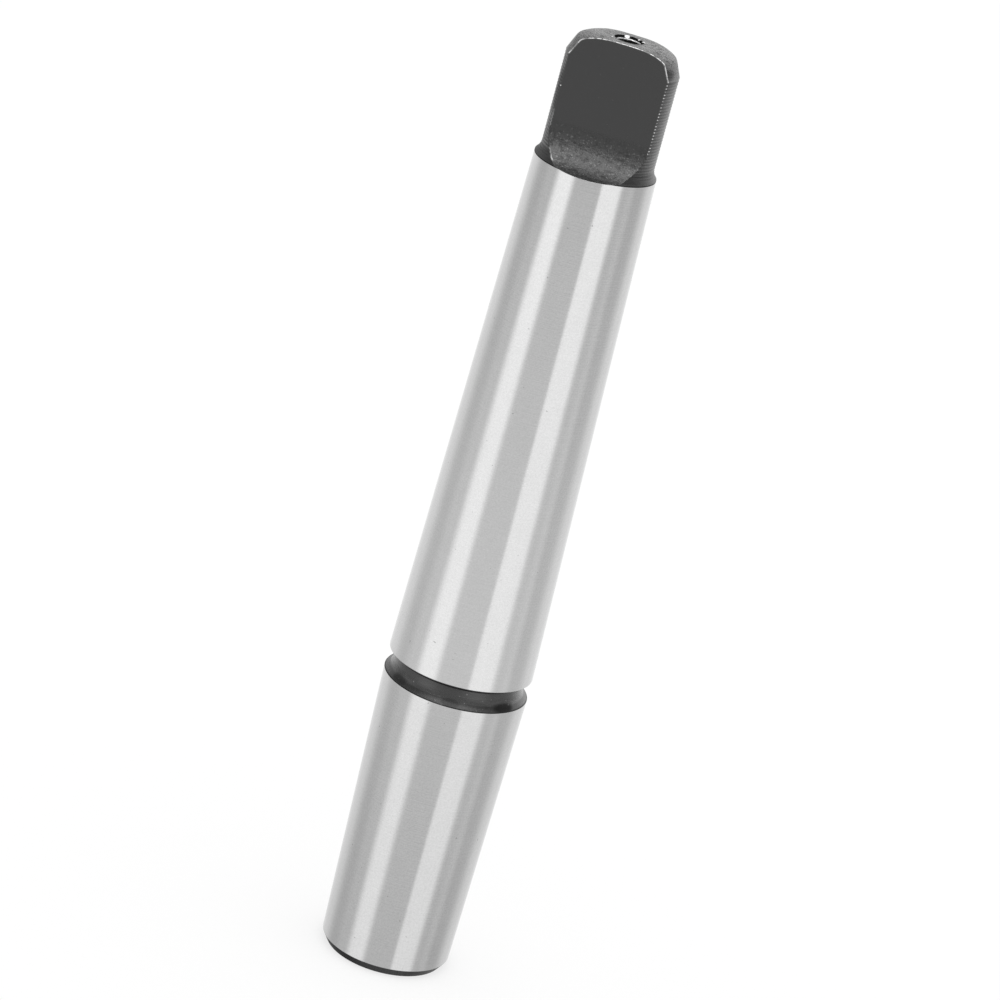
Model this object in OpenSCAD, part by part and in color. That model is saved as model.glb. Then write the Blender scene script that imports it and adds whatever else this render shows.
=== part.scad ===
// Solid drill chuck arbor, turned from one bar and ground between centres.
// It stands on its chuck end: Z runs up the axis to the tang, and the origin
// is the middle of the chuck end face. The flats of the tang face -Y and +Y.

/* [Chuck taper] */
// Diameter of the short taper on its gauge plane
chuck_gauge_d = 17.78; // [17:0.01:18.4]
// How far the large end lies behind that gauge plane
chuck_gauge_back = 5; // [2:0.5:7]
// Loss of diameter for each millimetre along the short taper
chuck_taper = 0.04995; // [0.045:0.00005:0.055]
// Length of the ground short taper
chuck_len = 36.1; // [30:0.1:40]
// Height of the bevel below the short taper
chuck_bevel_h = 1.1; // [0.6:0.1:2]
// Diameter of the flat end face that the bevel leaves
chuck_face_d = 14.7; // [13.4:0.1:15.6]

/* [Relief groove] */
// Width of the groove between the two tapers
groove_w = 2.7; // [2.3:0.1:3.4]
// Diameter of the groove's floor
groove_floor_d = 16.2; // [15.4:0.1:16.8]
// Radius of the hollow flank on the chuck taper's side
groove_flank_r = 2; // [1.2:0.1:2.2]
// Radius in the corner on the shank's side
groove_corner_r = 0.4; // [0.2:0.05:0.5]

/* [Shank taper] */
// Diameter of the long taper on its gauge plane
shank_gauge_d = 17.78; // [17.4:0.01:18.2]
// How far the large end lies behind that gauge plane
shank_gauge_back = 5; // [2:0.5:7]
// Loss of diameter for each millimetre along the long taper
shank_taper = 0.04995; // [0.047:0.00005:0.053]
// Length of the ground long taper
shank_len = 64.8; // [58:0.1:70]
// Size of the broken edge at the large end
shank_edge = 0.15; // [0.1:0.05:0.3]

/* [Tang] */
// Length of the tang above the ground taper
tang_len = 15.6; // [14.4:0.1:18]
// Diameter that the tang is turned to
tang_d = 13.7; // [13:0.05:14]
// Thickness of the tang across its two flats
tang_t = 6.3; // [5:0.1:7.6]
// Height above the ground taper at which each flat ends and the cutter runs out
flat_foot_h = 4.8; // [4.4:0.1:6]
// Radius that the cutter leaves at the foot of each flat
runout_r = 5; // [4:0.1:5.4]
// Height of the plain rim above the ground taper
rim_h = 0.15; // [0.1:0.05:0.3]
// Radius of the hollow between that rim and the tang
neck_r = 1.8; // [0.8:0.1:2.4]
// Diameter of the flat in the middle of the tip
tip_flat_d = 6; // [5:0.1:8]
// Radius of the crown round that flat
tip_crown_r = 5.6; // [4.6:0.1:8]
// Diameter at which the crown ends and the corner bevel starts
tip_bevel_d = 12; // [11:0.1:12.6]
// Height of the corner bevel
tip_bevel_h = 2; // [1:0.1:3]

/* [Centre holes] */
// Mouth diameter of the centre hole in the tang
tang_centre_d = 3.35; // [3:0.05:4]
// Pilot diameter of the centre hole in the tang
tang_pilot_d = 1.6; // [1:0.1:2]
// Mouth diameter of the centre hole in the chuck end
chuck_centre_d = 4.25; // [3.4:0.05:5.3]
// Pilot diameter of the centre hole in the chuck end
chuck_pilot_d = 2; // [1.2:0.1:2.5]
// Depth of each pilot hole, in pilot diameters, below its cone
pilot_depth = 1.2; // [0.8:0.1:2]
// Angle of the cone that a lathe centre seats in
centre_angle = 60; // [60, 75, 90]
// Angle of the drill's point
drill_angle = 118; // [118, 135]

/* [Hidden] */
$fn = 96;

// Heights of the shoulders, from the chuck end up
groove_z = chuck_bevel_h + chuck_len;
shank_z = groove_z + groove_w;
tang_z = shank_z + shank_len;
neck_z = tang_z + rim_h;
flat_z = tang_z + flat_foot_h;
tip_z = tang_z + tang_len;

// Radii at the ends of the two tapers
chuck_large_r = (chuck_gauge_d + chuck_gauge_back * chuck_taper) / 2;
chuck_small_r = chuck_large_r - chuck_len * chuck_taper / 2;
shank_large_r = (shank_gauge_d + shank_gauge_back * shank_taper) / 2;
shank_small_r = shank_large_r - shank_len * shank_taper / 2;

// The tip: how far the crown has dropped where the bevel starts
tip_reach = (tip_bevel_d - tip_flat_d) / 2;
tip_drop = tip_crown_r - sqrt(pow(tip_crown_r, 2) - pow(tip_reach, 2));

// How far a cut reaches past the metal, and a radius that all of it lies inside
clear = 1;
outside_r = max(chuck_large_r, shank_large_r) + clear;

// The two finishes
bright = "silver";
blackened = "#484848";

// Rise of an arc of radius r that climbs a step and ends tangent to its wall
function arc_rise(r, step) = sqrt(pow(r, 2) - pow(r - step, 2));

// What fills an inside corner at the origin, hollow to the radius r
module corner_fill(r) {
    difference() {
        square(r);
        translate([r, r]) circle(r);
    }
}

// Half section of the turned bar, with the groove and the neck not yet hollowed
module blank_outline() {
    polygon([
        [0, 0],
        [chuck_face_d / 2, 0],
        [chuck_small_r, chuck_bevel_h],
        [chuck_large_r, groove_z],
        [shank_large_r - shank_edge, shank_z],
        [shank_large_r - shank_edge * shank_taper / 2, shank_z + shank_edge],
        [shank_small_r, tang_z],
        [shank_small_r, neck_z],
        [tang_d / 2, neck_z],
        [tang_d / 2, tip_z - tip_drop - tip_bevel_h],
        [tip_bevel_d / 2, tip_z - tip_drop],
        [tip_bevel_d / 2, tip_z],
        [0, tip_z]
    ]);
}

// The crown: the tip may not stand outside this
module tip_limit() {
    square([outside_r, tip_z - tip_crown_r]);
    square([tip_flat_d / 2, tip_z]);
    translate([tip_flat_d / 2, tip_z - tip_crown_r]) circle(tip_crown_r);
}

// The groove: a hollow flank rises to the chuck taper, a small corner ends at the shank
module groove_outline() {
    floor_r = groove_floor_d / 2;
    flank_z = groove_z + arc_rise(groove_flank_r, chuck_large_r - floor_r);
    difference() {
        translate([floor_r, groove_z]) square([outside_r - floor_r, groove_w]);
        translate([floor_r, flank_z - groove_flank_r]) corner_fill(groove_flank_r);
        translate([floor_r, shank_z]) mirror([0, 1]) corner_fill(groove_corner_r);
    }
}

// The neck: metal left in the corner between the rim and the tang
module neck_outline() {
    neck_rise = arc_rise(neck_r, shank_small_r - tang_d / 2);
    intersection() {
        translate([tang_d / 2, neck_z + neck_rise - neck_r]) corner_fill(neck_r);
        translate([0, neck_z]) square([shank_small_r, tang_len]);
    }
}

// Half section of the turned body, with the groove, the neck and the crowned tip
module body_outline() {
    intersection() {
        difference() {
            blank_outline();
            groove_outline();
        }
        tip_limit();
    }
    neck_outline();
}

// One stretch of the turned body, between two heights
module stretch(low_z, high_z) {
    rotate_extrude()
        intersection() {
            body_outline();
            translate([0, low_z]) square([outside_r, high_z - low_z]);
        }
}

// The turned body: blackened all over, then ground bright on both tapers
module turned_body() {
    color(blackened) stretch(0, chuck_bevel_h);
    color(bright) stretch(chuck_bevel_h, groove_z);
    color(blackened) stretch(groove_z, shank_z);
    color(bright) stretch(shank_z, tang_z);
    color(blackened) stretch(tang_z, tip_z);
}

// What the cutter takes off the +Y side: the flat, and the hollow where it runs out.
// Its section is drawn as depth and height, and carried along X.
module flat_cut() {
    rotate([90, 0, 90])
        linear_extrude(height = 2 * outside_r, center = true) {
            translate([tang_t / 2, flat_z]) square([outside_r, tip_z - flat_z + clear]);
            translate([tang_t / 2 + runout_r, flat_z]) circle(runout_r);
            translate([tang_t / 2 + runout_r, flat_z - runout_r])
                square([outside_r, runout_r + clear]);
        }
}

// A centre hole that opens downwards at the origin: cone, pilot and drill point
module centre_hole(mouth_d, pilot_d) {
    cone_h = (mouth_d - pilot_d) / 2 / tan(centre_angle / 2);
    pilot_h = pilot_depth * pilot_d;
    point_h = pilot_d / 2 / tan(drill_angle / 2);
    rotate_extrude()
        polygon([
            [0, -clear],
            [mouth_d / 2, -clear],
            [mouth_d / 2, 0],
            [pilot_d / 2, cone_h],
            [pilot_d / 2, cone_h + pilot_h],
            [0, cone_h + pilot_h + point_h]
        ]);
}

// The whole arbor: one piece of steel, blackened too where it is milled and drilled
module arbor() {
    difference() {
        turned_body();
        color(blackened) {
            flat_cut();
            mirror([0, 1, 0]) flat_cut();
            centre_hole(chuck_centre_d, chuck_pilot_d);
            translate([0, 0, tip_z]) mirror([0, 0, 1]) centre_hole(tang_centre_d, tang_pilot_d);
        }
    }
}

arbor();
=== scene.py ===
import math
import bmesh
import bpy
import numpy as np
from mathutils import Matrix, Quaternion, Vector


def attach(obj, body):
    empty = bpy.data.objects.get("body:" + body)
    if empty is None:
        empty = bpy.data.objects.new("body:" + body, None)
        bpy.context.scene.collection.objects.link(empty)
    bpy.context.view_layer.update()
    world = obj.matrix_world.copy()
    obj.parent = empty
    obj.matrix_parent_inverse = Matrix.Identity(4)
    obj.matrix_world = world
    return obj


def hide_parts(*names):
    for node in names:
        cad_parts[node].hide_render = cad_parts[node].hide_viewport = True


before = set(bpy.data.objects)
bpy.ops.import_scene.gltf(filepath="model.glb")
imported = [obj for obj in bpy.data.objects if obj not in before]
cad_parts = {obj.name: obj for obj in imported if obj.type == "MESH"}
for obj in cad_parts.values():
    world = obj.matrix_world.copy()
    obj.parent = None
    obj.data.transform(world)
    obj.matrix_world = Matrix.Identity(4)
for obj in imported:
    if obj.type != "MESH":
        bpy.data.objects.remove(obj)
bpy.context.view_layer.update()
mm = 0.001  # shapes below are worked out in millimetres, Blender holds metres
tiny = 1e-9  # keeps divisors off zero and comparisons off rounding
print("frame loaded")


class Wire:
    # wraps one output socket of a node tree, so that shader maths reads as plain arithmetic
    def __init__(self, tree, socket=None):
        self.tree, self.socket = tree, socket

    def node(self, kind, settings=None, sockets=None, out=0):
        # any other node: its type, its settings first, then the values or links of its sockets
        made = self.tree.nodes.new(kind)
        for name, value in (settings or {}).items():
            setattr(made, name, value)
        for name, value in (sockets or {}).items():
            if isinstance(value, Wire):
                self.tree.links.new(value.socket, made.inputs[name])
            else:
                made.inputs[name].default_value = value
        return Wire(self.tree, made.outputs[out]) if len(made.outputs) else made

    def maths(self, operation, *values):
        # a Math node on any values, of which this wire needn't be one
        return self.node("ShaderNodeMath", {"operation": operation}, dict(enumerate(values)))

    def __add__(self, other):
        return self.maths("ADD", self, other)

    def __sub__(self, other):
        return self.maths("SUBTRACT", self, other)

    def __rsub__(self, other):
        return self.maths("SUBTRACT", other, self)

    def __mul__(self, other):
        return self.maths("MULTIPLY", self, other)

    def __truediv__(self, other):
        return self.maths("DIVIDE", self, other)

    def __rtruediv__(self, other):
        return self.maths("DIVIDE", other, self)

    def __pow__(self, other):
        return self.maths("POWER", self, other)

    def __rpow__(self, other):
        return self.maths("POWER", other, self)

    def __abs__(self):
        return self.maths("ABSOLUTE", self)

    __radd__, __rmul__ = __add__, __mul__

    def most(self, other):
        return self.maths("MAXIMUM", self, other)

    def step(self, low, high, start=0.0, end=1.0):
        # start below low, end above high, and a soft step between them
        return self.node("ShaderNodeMapRange", {"interpolation_type": "SMOOTHSTEP"},
                         {"Value": self, "From Min": low, "From Max": high, "To Min": start, "To Max": end})

    def value(self, first, second):
        # the first value where this wire is 0, the second where it is 1
        return self.node("ShaderNodeMix", {"data_type": "FLOAT"}, {0: self, 2: first, 3: second})

    def stretched(self, x, y, z):
        return self.node("ShaderNodeVectorMath", {"operation": "MULTIPLY"}, {0: self, 1: (x, y, z)})

    def shifted(self, other):
        return self.node("ShaderNodeVectorMath", {"operation": "ADD"}, {0: self, 1: other})

    def far(self, spot):
        # how far this place is from a spot
        return self.node("ShaderNodeVectorMath", {"operation": "DISTANCE"}, {0: self, 1: spot}, out=1)

    def noise(self, detail=2.0, roughness=0.5):
        return self.node("ShaderNodeTexNoise", None,
                         {"Vector": self, "Scale": 1.0, "Detail": detail, "Roughness": roughness})

    def part(self, axis):
        return self.node("ShaderNodeSeparateXYZ", None, {0: self}, out=axis)

    def bump(self, height, distance, under=None):
        # distance in metres; under is a normal that this bump lies on
        sockets = {"Strength": 1.0, "Distance": distance, "Height": height}
        if under:
            sockets["Normal"] = under
        return self.node("ShaderNodeBump", None, sockets)


def newMaterial(name):
    # an empty material, and a wire that its first nodes come from
    material = bpy.data.materials.new(name)
    material.use_nodes = True
    material.node_tree.nodes.clear()
    return material, Wire(material.node_tree)


def inMillimetres(start):
    # Object coordinates, in millimetres
    place = start.node("ShaderNodeTexCoord", out=3)
    return place.stretched(1000, 1000, 1000)


# where the picture is taken from: millimetres and degrees, near and far limits in metres
camera = {
    "place": (57.508, -492.777, 234.167),
    "aim": (-0.565, 0.005, 61.36),
    "roll": 15.105,
    "lens": 156.58, "sensor": 36,
    "nearLimit": 0.01, "farLimit": 60,
}


def makeCamera(user):
    data = bpy.data.cameras.new("pictureCamera")
    data.lens, data.sensor_width = user["lens"], user["sensor"]
    data.clip_start, data.clip_end = user["nearLimit"], user["farLimit"]
    seen = bpy.data.objects.new("pictureCamera", data)
    place, aim = Vector(user["place"]) * mm, Vector(user["aim"]) * mm
    looking = (aim - place).to_track_quat("-Z", "Y")
    seen.rotation_mode = "QUATERNION"
    seen.location = place
    seen.rotation_quaternion = looking @ Quaternion((0, 0, 1), math.radians(user["roll"]))
    bpy.context.scene.collection.objects.link(seen)
    bpy.context.scene.camera = seen


makeCamera(camera)
print("camera placed")


# the arbor's shape, from the chuck end up: radii and heights in millimetres
arbor = {
    "bevelTop": 1.1, "faceRadius": 7.35,
    "chuckSmall": 8.1133, "chuckLarge": 9.0149, "chuckTop": 37.2,
    "grooveRadius": 8.1, "grooveFlank": 2.0, "grooveCorner": 0.4,
    "shankFoot": 39.9, "shankEdge": 0.15, "shankLarge": 9.0149, "shankSmall": 7.3965, "shankTop": 104.7,
    "rim": 0.15, "neckRadius": 1.8,
    "tangRadius": 6.85, "bevelRadius": 6.0, "bevelHeight": 2.0,
    "crownRadius": 5.6, "tipRadius": 3.0, "tip": 120.3,
    "halfThickness": 3.15, "flatFoot": 109.5, "runOut": 5.0,
    "chuckHole": (2.125, 1.0, 2.4), "tangHole": (1.675, 0.8, 1.92),  # mouth, pilot, pilot's depth
    "centreAngle": 60, "drillAngle": 118,
    # softened edges: their radii, and how far the corner between crown and bevel is worn down
    "holeEdge": 0.06, "faceEdge": 0.08, "bevelEdge": 0.05, "chuckEdge": 0.04, "chamferEdge": 0.03,
    "rimEdge": 0.02, "bevelFootEdge": 0.07, "flatEdge": 0.05, "crownSoft": 0.1,
    # turning marks from the rim to the corner bevel, and how they run out at both ends
    "ridges": 33, "ridgeDepth": 0.065, "ridgeRunOut": 1.6, "ridgeRunIn": 0.4,
    # bare line along the edge of a flat, then its strength round the top, from a height up as
    # dots, and between two heights beside the hollow and above it
    "wornWidth": 0.09, "wornFade": 0.05,
    "wornTop": 1.0, "wornDots": (108.6, 1.7),
    "wornHollow": (105.2, 106.3, 0.6), "wornSide": (108.6, 110.6, 0.3),
    "blackReach": 0.02,  # how far the blackening climbs onto the shank's broken edge
    # columns on half a round side and on half a flat, how they crowd towards the edges of the
    # flats, and the height from which they begin to
    "sideColumns": 24, "flatColumns": 16, "sideCrowd": 1.8, "flatCrowd": 2.5, "crowdFrom": 84,
    # rows: radii on both end faces, steps that a stretch is cut into, and on the shank two
    # heights where stretches begin, with the last gaps below the flats
    "faceRows": (3.4, 5.0, 6.4), "tipRows": (2.9, 2.6, 2.2, 1.9),
    "chuckSteps": 11, "flankSteps": 12, "cornerSteps": 6,
    "shankFrom": 44, "shankSteps": 8, "upperFrom": 88, "upperRows": 24,
    "scoopGaps": (0.4, 0.2, 0.1, 0.04), "scoopSteps": 12,
    "neckSteps": 60, "wallSteps": 400, "ridgeSteps": 6, "bevelSteps": 12,
    "crownSteps": ((4.4, 18), (3.2, 13), (3.1, 1)),  # radius that each stretch reaches, and its steps
    "tipReach": 60,  # so many rows down from the tip hold all of the crown and the bevel
}


def arc(middle, radius, start, end, steps):
    # points on a circle from one angle to another, in degrees
    a = np.radians(np.linspace(start, end, steps + 1))
    return np.stack([middle[0] + radius * np.cos(a), middle[1] + radius * np.sin(a)], 1)


def climbing(radius, inner, outer):
    # a hollow arc that leaves the inner radius upright and ends on the outer one:
    # how high it reaches, and the angle of its end
    left = radius - (outer - inner)
    rise = math.sqrt(radius ** 2 - left ** 2)
    return rise, 180 + math.degrees(math.atan2(rise, left))


def softened(points, radii, steps=4, hold=0.05, holdShare=0.4):
    # each corner with a radius becomes an arc tangent to both its lines,
    # with one more point a little way along each line to hold the shading
    out = [points[:1]]
    for before, corner, after, radius in zip(points[:-2], points[1:-1], points[2:], radii[1:-1]):
        if not radius:
            out.append(corner[None])
            continue
        u, v = before - corner, after - corner
        back, ahead = np.hypot(*u), np.hypot(*v)
        u, v = u / back, v / ahead
        half = math.acos(u @ v) / 2
        reach = radius / math.tan(half)
        middle = corner + (u + v) / np.hypot(*(u + v)) * radius / math.sin(half)
        t = np.linspace(0, 1, steps + 1)[:, None]
        spokes = (corner + u * reach - middle) * (1 - t) + (corner + v * reach - middle) * t
        spokes *= radius / np.hypot(spokes[:, 0], spokes[:, 1])[:, None]
        first, last = [reach + min(hold, holdShare * (length - reach)) for length in (back, ahead)]
        out += [(corner + u * first)[None], middle + spokes, (corner + v * last)[None]]
    return np.concatenate(out + [points[-1:]])


def scoopFoot(p, slope):
    # height where the cutter's circle meets the ground taper, in the middle of a flat: each
    # round takes the taper's radius at the last height, which soon settles
    z = p["shankTop"]
    for _ in range(40):
        depth = p["halfThickness"] + p["runOut"] - p["shankSmall"] - (p["shankTop"] - z) * slope
        z = p["flatFoot"] - math.sqrt(p["runOut"] ** 2 - depth ** 2)
    return z


def ridgedWall(p, neck, bevelFoot):
    # the neck and the tang's side, cut into rings: each point moves inwards by the depth times
    # 1 - (2t - 1)^2, where t runs from 0 to 1 over each ring; gives the points and the crests
    side = np.linspace(neck[-1, 1], bevelFoot, p["wallSteps"] + 1)[1:]
    wall = np.concatenate([neck, np.stack([np.full(len(side), p["tangRadius"]), side], 1)])
    along = np.concatenate([[0], np.cumsum(np.hypot(*np.diff(wall, axis=0).T))])
    even = np.linspace(0, along[-1], p["ridgeSteps"] * p["ridges"] + 1)
    ridged = np.stack([np.interp(even, along, wall[:, 0]), np.interp(even, along, wall[:, 1])], 1)
    crest = (2 * (even / along[-1] * p["ridges"] % 1) - 1) ** 2
    lean = np.gradient(ridged, axis=0)
    lean /= np.hypot(lean[:, 0], lean[:, 1])[:, None]
    inward = np.stack([-lean[:, 1], lean[:, 0]], 1)
    fade = np.clip(np.minimum(even / p["ridgeRunOut"], (along[-1] - even) / p["ridgeRunIn"]), 0, 1)
    return ridged + inward * (p["ridgeDepth"] * (1 - crest) * fade)[:, None], crest


def turnedOutline(p):
    # half section of the turned bar, as rows of radius and height from the bottom of the
    # chuck hole round the outside to the bottom of the tang hole; with it come the heights
    # where the flats and the corner bevel begin, and the crests of the ridges by height
    def hole(mouth, pilot, depth):
        cone = (mouth - pilot) / math.tan(math.radians(p["centreAngle"] / 2))
        point = cone + depth + pilot / math.tan(math.radians(p["drillAngle"] / 2))
        edge = p["holeEdge"]
        return [(0, point, 0), (pilot, cone + depth, edge), (pilot, cone, edge), (mouth, 0, edge)]

    def plain(points, last=0.0):
        return [(r, z, 0.0) for r, z in points[:-1]] + [(*points[-1], last)]

    floor, flank, corner = p["grooveRadius"], p["grooveFlank"], p["grooveCorner"]
    rise, lip = climbing(flank, floor, p["chuckLarge"])
    hollow = arc((floor + flank, p["chuckTop"] + rise), flank, lip, 180, p["flankSteps"])[1:]
    foot = arc((floor + corner, p["shankFoot"] - corner), corner, 180, 90, p["cornerSteps"])

    # rows of the shank lie wide apart below, and close together where the flats begin
    slope = (p["shankLarge"] - p["shankSmall"]) / (p["shankTop"] - p["shankFoot"])
    scoop = scoopFoot(p, slope)
    firstGap, *gaps = p["scoopGaps"]
    heights = np.concatenate([
        np.linspace(p["shankFrom"], p["crowdFrom"], p["shankSteps"] + 1),
        np.linspace(p["upperFrom"], scoop - firstGap, p["upperRows"]), scoop - np.array(gaps),
        scoop + (p["shankTop"] - scoop) * (np.arange(p["scoopSteps"] + 1) / p["scoopSteps"]) ** 2])
    shank = np.stack([p["shankSmall"] + (p["shankTop"] - heights) * slope, heights], 1)

    rise, lip = climbing(p["neckRadius"], p["tangRadius"], p["shankSmall"])
    neckMiddle = (p["tangRadius"] + p["neckRadius"], p["shankTop"] + p["rim"] + rise)
    neck = arc(neckMiddle, p["neckRadius"], lip, 180, p["neckSteps"])
    crownMiddle = p["tip"] - p["crownRadius"]
    crownFoot = crownMiddle + math.sqrt(p["crownRadius"] ** 2 - (p["bevelRadius"] - p["tipRadius"]) ** 2)
    bevelFoot = crownFoot - p["bevelHeight"]
    ridged, crest = ridgedWall(p, neck, bevelFoot)

    # crown and corner bevel meet in a soft corner: the lower of both, less a little near the corner
    radii = np.array([p["tangRadius"]])
    for end, steps in ((p["bevelRadius"], p["bevelSteps"]), *p["crownSteps"]):
        radii = np.concatenate([radii, np.linspace(radii[-1], end, steps + 1)[1:]])
    radii = radii[1:]
    onCrown = crownMiddle + np.sqrt(p["crownRadius"] ** 2 - (radii - p["tipRadius"]) ** 2)
    onBevel = crownFoot + (p["bevelRadius"] - radii) * p["bevelHeight"] / (p["tangRadius"] - p["bevelRadius"])
    worn = np.hypot((onCrown - onBevel) / 2, p["crownSoft"])
    crown = np.stack([radii, (onCrown + onBevel) / 2 - worn], 1)

    # plain rows on the two end faces and up the chuck taper
    face = [(r, 0, 0.0) for r in p["faceRows"]]
    chuckFoot, chuckRim = (p["chuckSmall"], p["bevelTop"]), (p["chuckLarge"], p["chuckTop"])
    chuck = [(r, z, 0.0) for r, z in np.linspace(chuckFoot, chuckRim, p["chuckSteps"] + 1)[1:-1]]
    tipFace = [(r, p["tip"], 0.0) for r in (p["tipRadius"], *p["tipRows"])]
    rows = np.array([
        *hole(*p["chuckHole"]), *face,
        (p["faceRadius"], 0, p["faceEdge"]), (*chuckFoot, p["bevelEdge"]),
        *chuck, (*chuckRim, p["chuckEdge"]), *plain(hollow), *plain(foot),
        (p["shankLarge"] - p["shankEdge"], p["shankFoot"], p["chamferEdge"]),
        (p["shankLarge"] - p["shankEdge"] * slope, p["shankFoot"] + p["shankEdge"], p["chamferEdge"]),
        *plain(shank), (*ridged[0], p["rimEdge"]), *plain(ridged[1:], p["bevelFootEdge"]),
        *plain(crown), *tipFace,
        *[(r, p["tip"] - depth, soft) for r, depth, soft in hole(*p["tangHole"])[::-1]],
    ])
    return softened(rows[:, :2], rows[:, 2]), scoop, bevelFoot, (ridged[:, 1], crest)


def columnPlaces(count, crowd, power):
    # shares out columns from one edge to the other, -1 to 1: evenly where crowd is 0, and
    # where it is 1 by 1 less a power of the way left to the edge, so closer towards both edges
    t = np.arange(count) / count
    t = np.concatenate([t - 1, t])
    return t * (1 - crowd) + np.sign(t) * (1 - (1 - np.abs(t)) ** power) * crowd


def softEdge(place, own, other, gap, soft):
    # a point nearer to the other surface than the soft width moves inwards, by a quarter of
    # that width times the square of its nearness, along a blend of both normals
    near = np.clip(1 - gap / soft, 0, 1)[..., None]
    facing = own * (2 - near) / 2 + other * near / 2
    return place - facing * (soft / 4) * near ** 2 / np.sum(facing ** 2, axis=2, keepdims=True)


def rubbedShare(p, x, y, z, gap, bevelFoot, crest):
    # bare steel where the blackening is rubbed off the edge of a flat: a line round the top, a dot
    # on the crest of each ridge down one side, short lines beside and above the hollow on the other
    share = np.where(z > bevelFoot, p["wornTop"], 0.0)
    start, strength = p["wornDots"]
    share = np.where((x * y < 0) & (z > start) & (z <= bevelFoot), strength * crest, share)
    for start, end, strength in (p["wornHollow"], p["wornSide"]):
        share = np.where((x * y > 0) & (z > start) & (z < end), strength, share)
    return share * np.clip((p["wornWidth"] - gap) / p["wornFade"], 0, 1)


def setConeNormals(mesh, p, margin=0.1, close=0.004):
    # the ground tapers reflect as true cones: their points get the cone's own normal, all
    # other points (left at zero) keep the one worked out from the faces around them
    points = np.empty(3 * len(mesh.vertices), np.float32)
    mesh.vertices.foreach_get("co", points)
    points = points.reshape(-1, 3).astype(float) / mm
    reach, z = np.hypot(points[:, 0], points[:, 1]), points[:, 2]
    outward = points[:, :2] / np.maximum(reach, tiny)[:, None]
    normals = np.zeros_like(points)
    for foot, top, footRadius, topRadius in (
            (p["bevelTop"], p["chuckTop"], p["chuckSmall"], p["chuckLarge"]),
            (p["shankFoot"] + p["shankEdge"], p["shankTop"], p["shankLarge"], p["shankSmall"])):
        slope = (footRadius - topRadius) / (top - foot)
        offCone = np.abs(reach - footRadius + slope * (z - foot))
        on = (z > foot + margin) & (z < top - margin) & (offCone < close)
        cone = np.column_stack([outward, np.full(len(z), slope)])
        normals[on] = cone[on] / math.hypot(1, slope)
    mesh.normals_split_custom_set_from_vertices(normals.tolist())


def gridMesh(name, place, slots, values, finishes):
    # closed rings of points become rows of quads; points that coincide are joined
    rows, rings = place.shape[:2]
    index = np.arange(rows * rings).reshape(rows, rings)
    beside = np.roll(index, -1, 1)
    quads = np.stack([index[:-1], beside[:-1], beside[1:], index[1:]], 2).reshape(-1, 4)
    mesh = bpy.data.meshes.new(name)
    mesh.vertices.add(rows * rings)
    mesh.vertices.foreach_set("co", (place * mm).astype(np.float32).ravel())
    mesh.loops.add(quads.size)
    mesh.loops.foreach_set("vertex_index", quads.ravel().astype(np.int32))
    mesh.polygons.add(len(quads))
    mesh.polygons.foreach_set("loop_start", np.arange(0, quads.size, 4, dtype=np.int32))
    mesh.polygons.foreach_set("material_index", slots.ravel().astype(np.int32))
    mesh.update(calc_edges=True)
    for label, value in values.items():
        held = mesh.attributes.new(label, "FLOAT", "POINT")
        held.data.foreach_set("value", value.astype(np.float32).ravel())
    for finish in finishes:
        mesh.materials.append(finish)

    sameSpot = 1e-8  # metres
    joined = bmesh.new()
    joined.from_mesh(mesh)
    bmesh.ops.remove_doubles(joined, verts=joined.verts, dist=sameSpot)
    bmesh.ops.dissolve_degenerate(joined, edges=joined.edges, dist=sameSpot)
    joined.to_mesh(mesh)
    joined.free()
    mesh.polygons.foreach_set("use_smooth", np.ones(len(mesh.polygons), bool))
    return mesh


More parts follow.
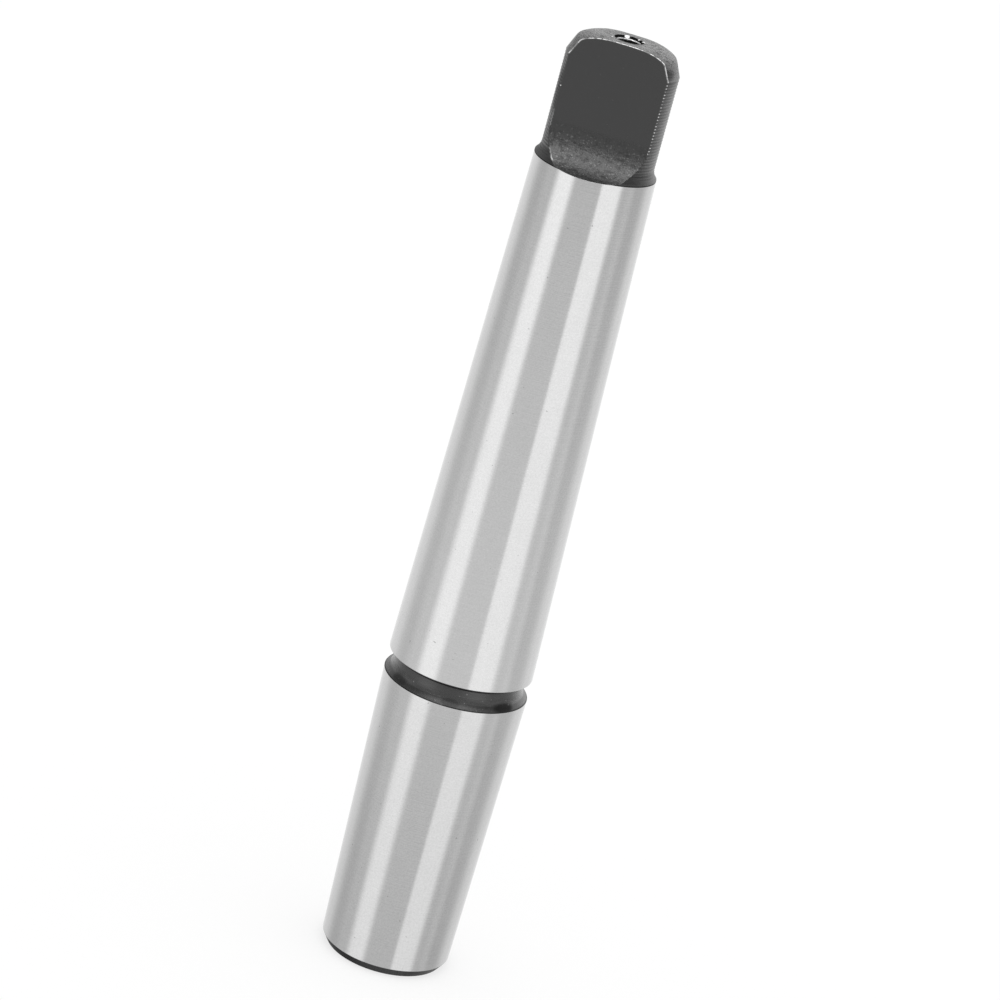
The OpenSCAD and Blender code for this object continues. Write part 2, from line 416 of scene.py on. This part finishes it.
def makeArbor(p, finishes):
    # Each row of the outline is carried round the axis as a closed ring of columns. Where the
    # ring stands out past the flats it is cut straight across, and the columns are shared out
    # so that one of them always runs along the edge of a flat.
    outline, scoop, bevelFoot, ridges = turnedOutline(p)
    rows, rings = len(outline), 4 * (p["sideColumns"] + p["flatColumns"])
    radius, height = outline[:, 0, None], outline[:, 1, None]
    cutter = p["halfThickness"] + p["runOut"]
    below = np.clip(p["flatFoot"] - height, 0, p["runOut"])
    depth = cutter - np.sqrt(p["runOut"] ** 2 - below ** 2)
    topRow = np.nonzero((outline[:, 0] > p["halfThickness"]) & (outline[:, 1] > bevelFoot))[0][-1]
    milled = (height > scoop - tiny) & (np.arange(rows)[:, None] <= topRow)
    settle = np.clip((height - p["crowdFrom"]) / (scoop - p["crowdFrom"]), 0, 1)
    cutAngle = np.arcsin(np.clip(depth / np.maximum(radius, tiny), 0, 1))
    edge = np.where(milled, cutAngle, np.pi / 4 * (1 + settle))
    edge[topRow + 1:] = edge[topRow]

    side = columnPlaces(p["sideColumns"], settle, p["sideCrowd"]) * edge
    flat = columnPlaces(p["flatColumns"], settle, p["flatCrowd"])
    over = np.pi / 2 + flat * (np.pi / 2 - edge)
    x, y = radius * np.cos(side), radius * np.sin(side)
    across = np.where(milled, -flat * radius * np.cos(edge), radius * np.cos(over))
    away = np.where(milled, depth, radius * np.sin(over))
    x = np.concatenate([x, across, -x, -across], 1)
    y = np.concatenate([y, away, -y, -away], 1)
    z = np.repeat(height, rings, 1)
    column = np.arange(rings) % (rings // 2)
    onFlat = milled & (column > 2 * p["sideColumns"])

    # the two surfaces that meet at the edge of a flat: which way both face, and how far each
    # point of the one lies inside the other
    out = np.gradient(outline, axis=0)
    out = np.stack([out[:, 1], -out[:, 0]], 1) / np.maximum(np.hypot(out[:, 0], out[:, 1]), tiny)[:, None]
    reach, turn = np.hypot(x, y), np.arctan2(y, x)
    upwards = np.repeat(out[:, 1:], rings, 1)
    turned = np.stack([out[:, :1] * np.cos(turn), out[:, :1] * np.sin(turn), upwards], 2)
    towardsY = np.where(y < 0, -1, 1) * (cutter - np.abs(y))
    towards = np.stack([0 * x, towardsY, np.maximum(p["flatFoot"] - z, 0)], 2)
    span = np.linalg.norm(towards, axis=2)
    cut = towards / span[..., None]
    insideCut = span - p["runOut"]
    tipRows = outline[topRow + 1::-1][:p["tipReach"]]
    level = np.maximum(radius - reach, tiny)
    upright = np.maximum(np.interp(reach, tipRows[:, 0], tipRows[:, 1]) - z, tiny)
    insideTurned = np.where(z > bevelFoot, level * upright / np.hypot(level, upright), level * out[:, :1])
    gap = np.abs(np.where(onFlat, insideTurned, insideCut))
    own = np.where(onFlat[..., None], cut, turned)
    other = np.where(onFlat[..., None], turned, cut)
    place = softEdge(np.stack([x, y, z], 2), own, other, gap, p["flatEdge"])

    # values that the finishes read: bare steel, and the bottoms of the turning marks, which get painted shade
    crest = np.interp(height, *ridges)
    onWall = (height > ridges[0][0]) & (height < bevelFoot)
    values = {"rubbed": rubbedShare(p, x, y, z, gap, bevelFoot, crest ** 2),
              "valley": np.where(onWall, 1 - crest, 0) + 0 * x}

    # 0 is ground steel, 1 turned and blackened, 2 milled and blackened
    middle = (height[:-1] + height[1:]) / 2
    onChuck = (middle > p["bevelTop"]) & (middle < p["chuckTop"])
    onShank = (middle > p["shankFoot"] + p["blackReach"]) & (middle < p["shankTop"])
    ground = (onChuck | onShank) & (radius[:-1] > p["chuckHole"][0])
    cutFace = milled[:-1] & milled[1:] & (column >= 2 * p["sideColumns"])
    slots = np.where(cutFace, 2, np.where(ground, 0, 1))

    mesh = gridMesh("arbor", place, slots, values, finishes)
    setConeNormals(mesh, p)
    piece = bpy.data.objects.new("arbor_body", mesh)
    bpy.context.scene.collection.objects.link(piece)
    return piece


# ground taper: bare steel with fine lines round the axis, speckle, patches and a few pits,
# each a noise over the stretched place, with its share in the tone
steel = {
    "tone": 0.644, "roughness": 0.115,
    "lines": (0.25, 0.25, 8.0), "lineTone": 0.10, "lineDepth": 5.0e-6,
    "speckle": (4.5, 4.5, 4.5), "speckleTone": 0.22,
    "patches": (0.5, 0.5, 0.3), "patchTone": 0.06, "patchRough": 0.05,
    "pits": (2.3, 2.3, 2.3), "pitRange": (0.86, 0.89), "pitTone": 0.3,
}


def groundSteel(p):
    # tone times 1 plus the three noises, less the pits; the lines are a bump as well
    material, start = newMaterial("groundSteel")
    place = inMillimetres(start)
    lines = place.stretched(*p["lines"]).noise(3.0, 0.6) - 0.5
    speckle = place.stretched(*p["speckle"]).noise(2.0, 0.6) - 0.5
    patches = place.stretched(*p["patches"]).noise(2.0, 0.5) - 0.5
    pits = place.stretched(*p["pits"]).noise(0.0).step(*p["pitRange"])
    uneven = lines * p["lineTone"] + speckle * p["speckleTone"] + patches * p["patchTone"]
    shader = start.node("ShaderNodeBsdfPrincipled", None, {
        "Base Color": (uneven + 1) * (1 - pits * p["pitTone"]) * p["tone"], "Metallic": 1.0,
        "Roughness": patches * p["patchRough"] + p["roughness"], "Normal": start.bump(lines, p["lineDepth"])})
    start.node("ShaderNodeOutputMaterial", None, {0: shader})
    return material


# blackened steel, in two grades: as turned, with marks round the axis, and as milled, with
# streaks along the cutter's way. The zone is the rougher part: the end face, the hollows.
# A corner is a height of painted shade, with its reach and strength; a dark patch is a place with
# its reach, its strength and how flat it is; a nick is a place and its reach; a worn patch adds a strength.
turnedBlack = {
    "tone": 0.021, "bare": 0.85, "ior": 1.75, "roughness": 0.28,
    "round": 5.0, "marks": (0.3, 0.3, 0.3), "markTone": 0.9, "markRough": 0.12, "markDepth": 2.5e-5,
    "grain": (2.8, 2.8, 2.8), "grainTone": 1.2, "grainRough": 0.2, "grainDepth": 2.0e-5,
    "zone": (117.3, 118.8, 0, 1), "zoneGain": 5.0, "zoneRough": 0.0, "zoneSoot": 0.45, "valleyShade": 0.42,
    "specks": (3.2, 3.2, 3.2), "speckRange": (0.79, 0.83), "speckShare": 0.3, "speckElse": 0.2,
    # painted shade at each corner: low on the chuck end by the floor, along both edges of the groove, at the
    # rim and in the neck
    "cornerShade": [
        (0.5, 1.2, 0.7),
        (37.2, 0.14, 0.8), (37.4, 0.6, 0.4), (39.56, 0.16, 0.85),
        (104.76, 0.12, 0.8), (105.1, 1.3, 0.5)],
    # dark patches: the three at height 37.6 in the groove are painted shade; the others darken the tang's
    # upper right, its left side and the end face round its hole
    "darkPatches": [
        ((-6.1, -6.1, 37.6), 2.3, 0.65, 3), ((1.0, -8.6, 37.6), 2.1, 0.6, 3),
        ((7.1, -4.9, 37.6), 2.6, 0.85, 3), ((5.5, -3.5, 118.2), 2.8, 0.6, 3),
        ((-6.3, -3.5, 113.0), 2.6, 0.6, 0.55), ((0.0, -0.4, 120.3), 2.1, 0.9, 3)],
    "nicks": [
        ((-0.5, 1.55, 120.3), 0.42), ((1.0, 1.4, 120.3), 0.22),
        ((1.65, 0.7, 120.3), 0.24), ((-1.9, -1.0, 120.3), 0.15),
        ((4.5, -5.6, 105.3), 0.12), ((5.2, -5.1, 105.2), 0.12), ((4.7, -5.8, 104.9), 0.1)],
    "worn": [
        ((6.9, 1.6, 107.5), 6.0, 0.26), ((6.9, 1.6, 111.5), 6.0, 0.26), ((6.9, 1.6, 114.6), 6.0, 0.26),
        ((-6.9, 0.2, 109.0), 3.6, 0.16),
        ((8.1, 1.5, 38.5), 5.5, 0.24), ((-8.2, -0.4, 38.5), 5.5, 0.17)],
}
milledBlack = {
    "tone": 0.013, "bare": 0.85, "ior": 1.75, "roughness": 0.25,
    "round": 0.0, "marks": (4.0, 0.35, 0.35), "markTone": 0.25, "markRough": 0.06, "markDepth": 3.0e-6,
    "grain": (3.0, 3.0, 3.0), "grainTone": 0.5, "grainRough": 0.08, "grainDepth": 4.0e-6,
    "zone": (107.3, 109.8, 1, 0), "zoneGain": 14.0, "zoneRough": 0.14, "zoneSoot": 0.4, "valleyShade": 0.0,
    "specks": (4.6, 4.6, 4.6), "speckRange": (0.70, 0.74), "speckShare": 0.14, "speckElse": 0.0,
    "cornerShade": [],
    "darkPatches": [],
    "nicks": [((6.0, -3.15, 108.6), 0.14), ((-6.0, -3.15, 113.5), 0.09), ((-6.0, -3.15, 107.9), 0.1)],
    "worn": [],
}

# what both grades share
oxide = {
    "edgeNoise": (1.9, 1.9, 1.9), "edgeBreaks": (0.40, 0.54, 0.35, 1.0),  # breaks in the rubbed line
    "holeChange": (59, 61),  # heights below belong to the chuck's hole, heights above to the tang's
    "seatOuter": (0.90, 0.92, 1, 0), "seatInner": (0.85, 0.88, 0, 0.9),  # painted shade inside the centre holes, then a dark ring as far out as this, in mouth radii
    "holeShade": (1.04, 1.10, 1, 0),  # dirt as far out as this, in mouth radii
    "wornBelow": (117.2, 117.7, 1, 0),  # a worn patch ends at this height
    "blotchNoise": (1.7, 1.7, 1.7), "blotches": (0.48, 0.66, 0, 1),
    # share of its reach over which each kind of spot is at full strength
    "nickCore": 0.6, "wornCore": 0.2, "cornerCore": 0.5, "stainCore": 0.4,
    # the dull dark diffuse: dirt in blotches, and painted shade in holes, corners, groove and turning marks
    "bareRoughness": 0.2, "dirtAndShadeColour": (0.012, 0.012, 0.012, 1),
}


def blackOxide(name, p, both, shape):
    # a black skin mixed with bare steel where it is rubbed off, and with a dull dark diffuse for dirt and
    # painted shade
    material, start = newMaterial(name)
    place = inMillimetres(start)
    x, y, z = place.part(0), place.part(1), place.part(2)
    radius = (x * x + y * y) ** 0.5
    zone = z.step(*p["zone"])
    # marks: noise over radius and height, or over the stretched place, and slow in between
    rings = start.node("ShaderNodeCombineXYZ", None, {0: radius * p["round"], 1: z * p["round"]})
    marks = rings.shifted(place.stretched(*p["marks"])).noise(3.0, 0.6) - 0.5
    grain = place.stretched(*p["grain"]).noise(3.0, 0.6) - 0.5
    specks = place.stretched(*p["specks"]).noise(0.0).step(*p["speckRange"])

    # bare steel: the rubbed edges, broken up by noise, the seats in the centre holes, specks,
    # nicks and worn patches
    broken = place.stretched(*both["edgeNoise"]).noise(3.0).step(*both["edgeBreaks"])
    edge = start.node("ShaderNodeAttribute", {"attribute_name": "rubbed"}, out=2) * broken
    share = radius / z.step(*both["holeChange"], shape["chuckHole"][0], shape["tangHole"][0])
    seat = share.step(*both["seatOuter"]) * share.step(*both["seatInner"])
    bare = edge.most(seat).most(specks * zone.value(p["speckElse"], p["speckShare"]))
    for spot, reach in p["nicks"]:
        bare = bare.most(place.far(spot).step(reach * both["nickCore"], reach, 1, 0))
    below = z.step(*both["wornBelow"])
    for spot, reach, strength in p["worn"]:
        bare = bare.most(place.far(spot).step(reach * both["wornCore"], reach, strength, 0) * below)

    # painted shade inside the centre holes, in each corner beside the tapers, in the groove's dark patches
    # and in the turning marks; a dark ring round the holes' mouths, other dark patches, and dirt in blotches
    # over the zone
    dirtAndShade = share.step(*both["holeShade"]) * (1 - seat)
    for line, reach, strength in p["cornerShade"]:
        dirtAndShade = dirtAndShade.most(abs(z - line).step(reach * both["cornerCore"], reach, strength, 0))
    for (spotX, spotY, spotZ), reach, strength, squash in p["darkPatches"]:
        away = place.stretched(1, 1, squash).far((spotX, spotY, spotZ * squash))
        dirtAndShade = dirtAndShade.most(away.step(reach * both["stainCore"], reach, strength, 0) * (1 - seat))
    valley = start.node("ShaderNodeAttribute", {"attribute_name": "valley"}, out=2)
    blotches = place.stretched(*both["blotchNoise"]).noise(3.0, 0.6).step(*both["blotches"]) * zone
    dirtAndShade = dirtAndShade.most(valley * p["valleyShade"]).most(blotches * p["zoneSoot"]) * (1 - bare)

    tone = (marks * p["markTone"] + grain * p["grainTone"] + 1) * p["tone"]
    roughness = marks * p["markRough"] + grain * p["grainRough"] + zone * p["zoneRough"] + p["roughness"]
    gain = zone * p["zoneGain"] + 1
    normal = start.bump(grain * gain, p["grainDepth"], start.bump(marks * gain, p["markDepth"]))
    shader = start.node("ShaderNodeBsdfPrincipled", None, {
        "Base Color": bare.value(tone, p["bare"]), "Metallic": bare, "IOR": p["ior"],
        "Roughness": bare.value(roughness, both["bareRoughness"]), "Normal": normal})
    dark = start.node("ShaderNodeBsdfDiffuse", None, {"Color": both["dirtAndShadeColour"]})
    mixed = start.node("ShaderNodeMixShader", None, {0: dirtAndShade, 1: shader, 2: dark})
    start.node("ShaderNodeOutputMaterial", None, {0: mixed})
    return material


piece = makeArbor(arbor, [groundSteel(steel), blackOxide("turnedBlack", turnedBlack, oxide, arbor),
                          blackOxide("milledBlack", milledBlack, oxide, arbor)])
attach(piece, "root")
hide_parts("arbor")
print("arbor made")


# what reflections see. Azimuths are degrees off the camera's own, elevations degrees over the
# horizon, and four numbers are a soft step: from, to, value before, value after.
studio = {
    "facing": 6.72,  # azimuth of the camera
    # level by azimuth, both sides alike: the first two multiply, the other two are added
    "front": (40, 70, 0.845, 0.82), "side": (80, 100, 1, 0.86),
    "rearSide": (106, 134, 0, 0.20), "rear": (140, 176, 0, 0.04),
    # level by elevation: all three in front, but only the low ones behind, and those by half
    "low": (-30, -19, 0.76, 1), "lowest": (-50, -34, 0.5, 1), "high": (-19, -8, 1, 0.72),
    "inFront": (104, 140, 1, 0),
    # strips: rises, rises to, falls from, falls to, gain; brighter from one elevation to another
    "leftStrip": (-72, -56, -37, -25, 0.417), "rightStrip": (20.5, 22.5, 54, 65, 0.375),
    "stripRise": (-18, -8, 1.7),
    # faint stripes beside the right strip
    "ripple": 0.025, "rippleMiddle": 82, "ripplePitch": 0.26,
    "rippleIn": (60, 68), "rippleOut": (94, 102, 1, 0),
    # level straight below, behind the part
    "under": 1.15, "underBelow": (-74, -64, 1, 0), "underBehind": (-0.1, 0.1, 1, 0),
    # above the horizon: plain sky, from behind to ahead, and a soft key light
    "horizon": (-2, 12), "sky": (-0.3, 0.5, 1.45, 0.7),
    "key": 3.1, "keyElevation": 80, "keyEdge": (0.72, 0.97),
    # how much darker the sky is at both sides, and where that begins and ends
    "sideShade": 0.5, "shadeFrom": (45, 75), "shadeTo": (105, 140, 1, 0),
    "shadeLow": (15, 30), "shadeHigh": (60, 75, 1, 0),
    # left and right behind the part, outside the band that the ground tapers mirror
    "leftBehind": 0.62, "rightBehind": (-20, 0, 1.7, 1.08), "leftToRight": (-0.45, 0.12),
    "belowBand": (-38, -31, 1, 0), "aboveBand": (-9, 2), "behind": (-0.25, 0.0, 1, 0),
}


def makeStudio(user):
    world = bpy.data.worlds.new("studio")
    world.use_nodes = True
    world.node_tree.nodes.clear()
    bpy.context.scene.world = world
    start = Wire(world.node_tree)
    way = start.node("ShaderNodeTexCoord", out=0)
    x, y, z = way.part(0), way.part(1), way.part(2)
    turn, lift = math.radians(user["facing"]), math.radians(user["keyElevation"])
    ahead = x * math.sin(turn) - y * math.cos(turn)
    right = x * math.cos(turn) + y * math.sin(turn)
    azimuth = right.maths("ARCTAN2", right, ahead) * (180 / math.pi)
    elevation = z.maths("ARCSINE", z) * (180 / math.pi)
    off = abs(azimuth)

    # below the horizon: a level by azimuth, then by elevation, two soft strips and a ripple
    level = off.step(*user["front"]) * off.step(*user["side"])
    level = level + off.step(*user["rearSide"]) + off.step(*user["rear"])
    low = elevation.step(*user["low"]) * elevation.step(*user["lowest"])
    high = elevation.step(*user["high"])
    level = level * off.step(*user["inFront"]).value((low + 1) / 2, low * high)
    lowEnd, highEnd, brighter = user["stripRise"]
    for rise, full, fall, gone, gain in (user["leftStrip"], user["rightStrip"]):
        strip = azimuth.step(rise, full) * azimuth.step(fall, gone, 1, 0)
        level = strip * elevation.step(lowEnd, highEnd, gain, gain * brighter) + level
    waves = (azimuth - user["rippleMiddle"]) * user["ripplePitch"]
    ripple = waves.maths("COSINE", waves) * azimuth.step(*user["rippleIn"]) * azimuth.step(*user["rippleOut"])
    level = ripple * user["ripple"] + level

    # behind the part it is light straight below; above the horizon there is a plain sky,
    # darker at both sides, and a soft key light
    under = elevation.step(*user["underBelow"]) * ahead.step(*user["underBehind"])
    level = under.value(level, user["under"])
    key = ahead * math.cos(lift) + z * math.sin(lift)
    sides = off.step(*user["shadeFrom"]) * off.step(*user["shadeTo"])
    sides = sides * elevation.step(*user["shadeLow"]) * elevation.step(*user["shadeHigh"])
    above = key.step(*user["keyEdge"]).value(ahead.step(*user["sky"]), user["key"])
    above = above * (1 - sides * user["sideShade"])
    level = elevation.step(*user["horizon"]).value(level, above)
    uneven = right.step(*user["leftToRight"]).value(user["leftBehind"], elevation.step(*user["rightBehind"]))
    apart = elevation.step(*user["belowBand"]) + elevation.step(*user["aboveBand"])
    level = level * (apart * ahead.step(*user["behind"])).value(1.0, uneven)

    # only reflections see all this: the camera and plain light see an even white
    glossy = start.node("ShaderNodeLightPath", out=3)
    seen = start.node("ShaderNodeLightPath", out=0)
    level = seen.value(glossy.value(1.0, level), 1.0)
    back = start.node("ShaderNodeBackground", None, {"Color": (1, 1, 1, 1), "Strength": level})
    start.node("ShaderNodeOutputWorld", None, {0: back})


# half paint, which takes the shadow, and half a lift that only the camera sees
paleFloor = {"reach": 4, "paint": (0.3, 0.3, 0.3, 1), "lift": 0.71}


def makeFloor(user):
    mesh = bpy.data.meshes.new("floor")
    far = user["reach"]
    mesh.from_pydata([(-far, -far, 0), (far, -far, 0), (far, far, 0), (-far, far, 0)], [], [(0, 1, 2, 3)])
    floor = bpy.data.objects.new("floor", mesh)
    bpy.context.scene.collection.objects.link(floor)
    material, start = newMaterial("paleFloor")
    seen = start.node("ShaderNodeLightPath", out=0)
    under = start.node("ShaderNodeNewGeometry", out=6)
    paint = start.node("ShaderNodeBsdfDiffuse", None, {"Color": user["paint"]})
    lift = start.node("ShaderNodeEmission", None, {"Color": (1, 1, 1, 1), "Strength": seen * user["lift"]})
    pale = start.node("ShaderNodeAddShader", None, {0: paint, 1: lift})
    clear = start.node("ShaderNodeBsdfTransparent")
    mixed = start.node("ShaderNodeMixShader", None, {0: under, 1: pale, 2: clear})  # clear from below
    start.node("ShaderNodeOutputMaterial", None, {0: mixed})
    mesh.materials.append(material)
    floor.visible_glossy = False


makeStudio(studio)
makeFloor(paleFloor)
bpy.context.scene.view_settings.view_transform = "Standard"
print("studio and floor made")
